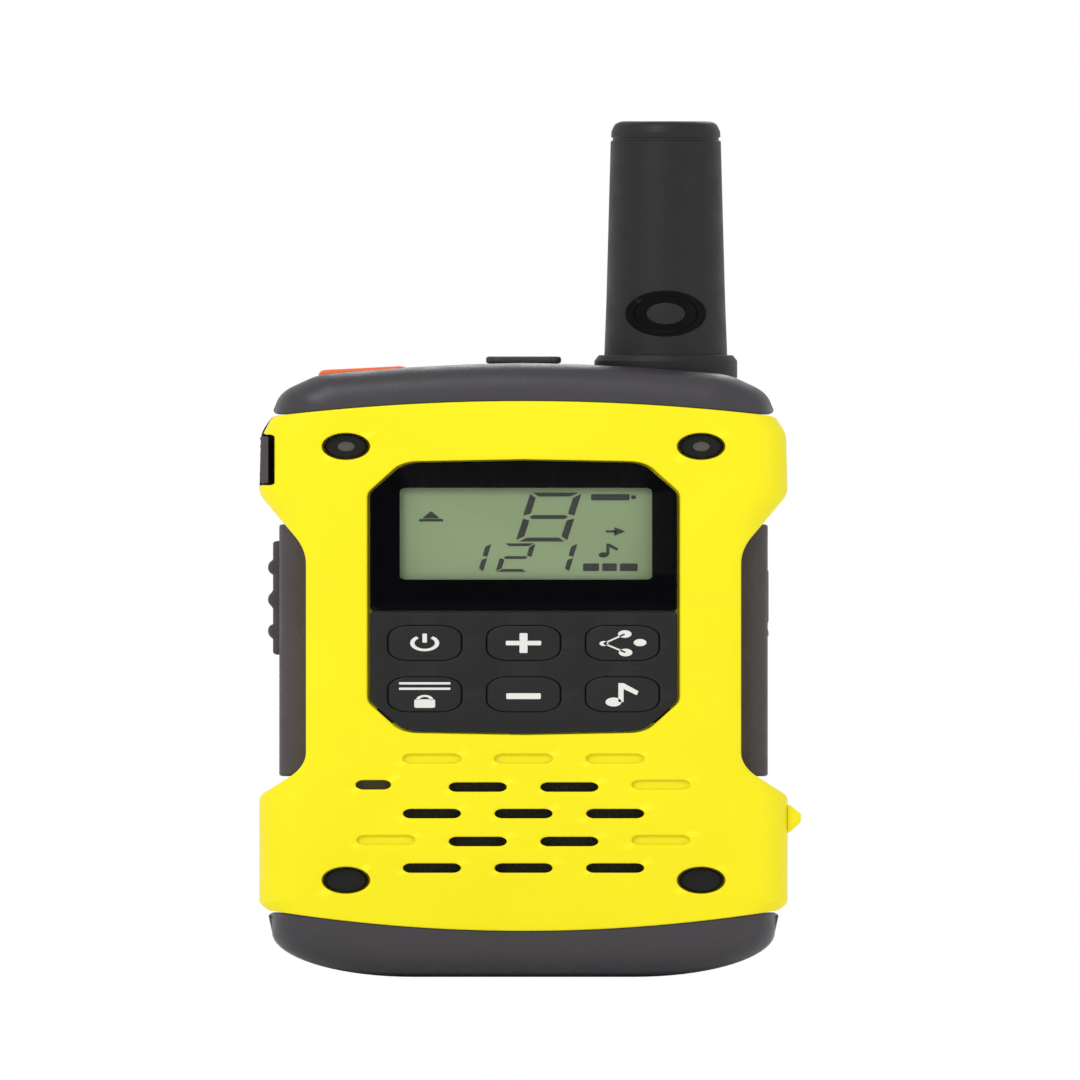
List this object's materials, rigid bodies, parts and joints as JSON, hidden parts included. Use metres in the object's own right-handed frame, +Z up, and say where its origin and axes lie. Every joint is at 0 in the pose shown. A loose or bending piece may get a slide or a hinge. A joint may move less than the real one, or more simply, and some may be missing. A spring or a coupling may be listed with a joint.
{
  "type": "two way radio",
  "caption": "Rugged handheld two way radio with yellow cover, dark rubber caps and grips, display, keypad, antenna, battery door and belt clip.",
  "frame": {"origin": "middle of the flat base that the radio stands on", "axes": "+Z up towards the antenna's tip, front face towards -Y, +X to the right as seen from the front"},
  "size_m": [0.0676, 0.0443, 0.1902],
  "materials": {
    "yellow_shell": "satin moulded plastic",
    "dark_shell": "fine textured moulded plastic",
    "dark_rubber": "matt rubber",
    "black_gloss": "polished",
    "keypad_rubber": "matt, with printed symbols",
    "seal_rubber": "matt",
    "orange_button": "satin",
    "lcd": "reflective liquid crystal panel",
    "light_guide": "frosted",
    "circuit_board": "solder mask",
    "tinned_steel": "tinned",
    "paper_cone": "pressed paper",
    "mesh_fabric": "fine woven",
    "switch_plastic": "moulded",
    "spring_steel": "drawn wire and strip",
    "brass": "turned",
    "clear_lens": "polished clear",
    "battery_wrap": "heat shrink sleeve"
  },
  "bodies": {
    "radio_body": {"front_cover": "yellow_shell", "rear_housing": "dark_shell", "top_bumper": "dark_rubber", "bottom_bumper": "dark_rubber", "left_grip": "dark_rubber", "right_grip": "dark_rubber", "housing_seal": "seal_rubber", "screw_top_left": "tinned_steel", "screw_top_right": "tinned_steel", "screw_bottom_left": "tinned_steel", "screw_bottom_right": "tinned_steel", "display_lens": "black_gloss", "keypad_panel": "keypad_rubber", "keypad_mat": "keypad_rubber", "dome_sheet": "tinned_steel", "key_board": "circuit_board", "lcd_glass": "lcd", "lcd_backlight": "light_guide", "main_board": "circuit_board", "shield_can": "tinned_steel", "speaker_barrier": "mesh_fabric", "speaker_frame": "tinned_steel", "speaker_cone": "paper_cone", "speaker_magnet": "tinned_steel", "microphone": "tinned_steel", "ptt_switch": "switch_plastic", "torch_switch": "switch_plastic", "sos_switch": "switch_plastic", "headset_socket": "switch_plastic", "charging_socket": "tinned_steel", "antenna_sheath": "dark_rubber", "antenna_badge": "dark_shell", "antenna_collar": "dark_rubber", "antenna_foot": "brass", "antenna_coil": "brass", "torch_lens": "clear_lens", "torch_lamp": "light_guide", "battery_pack": "battery_wrap", "battery_contact_top": "spring_steel", "battery_contact_bottom": "spring_steel", "door_seal": "seal_rubber"},
    "ptt_button": {"ptt_button": "dark_rubber"},
    "torch_button": {"torch_button": "dark_rubber"},
    "sos_button": {"sos_button": "orange_button"},
    "key_power": {"key_power": "keypad_rubber"},
    "key_up": {"key_up": "keypad_rubber"},
    "key_share": {"key_share": "keypad_rubber"},
    "key_menu": {"key_menu": "keypad_rubber"},
    "key_down": {"key_down": "keypad_rubber"},
    "key_tone": {"key_tone": "keypad_rubber"},
    "headset_cover": {"headset_cover": "dark_rubber"},
    "charging_cover": {"charging_cover": "dark_rubber"},
    "battery_door": {"battery_door": "dark_shell"},
    "door_latch": {"door_latch": "dark_shell"},
    "clip_bracket": {"clip_bracket": "dark_shell", "clip_pin": "spring_steel", "clip_spring": "spring_steel"},
    "clip_arm": {"clip_arm": "dark_shell"}
  },
  "joints": [
    {"name": "talk_press", "type": "slide", "parent": "radio_body", "child": "ptt_button", "axis": [1, 0, 0], "range_m": [0, 0.0008], "stiffness_N_per_m": 2000},
    {"name": "torch_press", "type": "slide", "parent": "radio_body", "child": "torch_button", "axis": [1, 0, 0], "range_m": [0, 0.0006], "stiffness_N_per_m": 2000},
    {"name": "sos_press", "type": "slide", "parent": "radio_body", "child": "sos_button", "axis": [0, 0, -1], "range_m": [0, 0.001], "stiffness_N_per_m": 2000},
    {"name": "key_power_press", "type": "slide", "parent": "radio_body", "child": "key_power", "axis": [0, 1, 0], "range_m": [0, 0.0005], "stiffness_N_per_m": 2000},
    {"name": "key_up_press", "type": "slide", "parent": "radio_body", "child": "key_up", "axis": [0, 1, 0], "range_m": [0, 0.0005], "stiffness_N_per_m": 2000},
    {"name": "key_share_press", "type": "slide", "parent": "radio_body", "child": "key_share", "axis": [0, 1, 0], "range_m": [0, 0.0005], "stiffness_N_per_m": 2000},
    {"name": "key_menu_press", "type": "slide", "parent": "radio_body", "child": "key_menu", "axis": [0, 1, 0], "range_m": [0, 0.0005], "stiffness_N_per_m": 2000},
    {"name": "key_down_press", "type": "slide", "parent": "radio_body", "child": "key_down", "axis": [0, 1, 0], "range_m": [0, 0.0005], "stiffness_N_per_m": 2000},
    {"name": "key_tone_press", "type": "slide", "parent": "radio_body", "child": "key_tone", "axis": [0, 1, 0], "range_m": [0, 0.0005], "stiffness_N_per_m": 2000},
    {"name": "headset_cover_lift", "type": "hinge", "parent": "radio_body", "child": "headset_cover", "pos_m": [0, 0.0055, 0.1371], "axis": [-1, 0, 0], "range_deg": [0, 100]},
    {"name": "charging_cover_swing", "type": "hinge", "parent": "radio_body", "child": "charging_cover", "pos_m": [0.0304, 0.002, 0.083], "axis": [0, 0, 1], "range_deg": [0, 110]},
    {"name": "battery_door_swing", "type": "hinge", "parent": "radio_body", "child": "battery_door", "pos_m": [0, 0.0168, 0.0152], "axis": [-1, 0, 0], "range_deg": [0, 90]},
    {"name": "door_latch_slide", "type": "slide", "parent": "battery_door", "child": "door_latch", "axis": [0, 0, -1], "range_m": [0, 0.002], "stiffness_N_per_m": 400},
    {"name": "clip_lift_off", "type": "slide", "parent": "radio_body", "child": "clip_bracket", "axis": [0, 0, 1], "range_m": [0, 0.017]},
    {"name": "clip_arm_squeeze", "type": "hinge", "parent": "clip_bracket", "child": "clip_arm", "pos_m": [0, 0.0222, 0.115], "axis": [1, 0, 0], "range_deg": [0, 20], "stiffness_Nm_per_rad": 0.25, "springref_deg": -20.05}
  ]
}
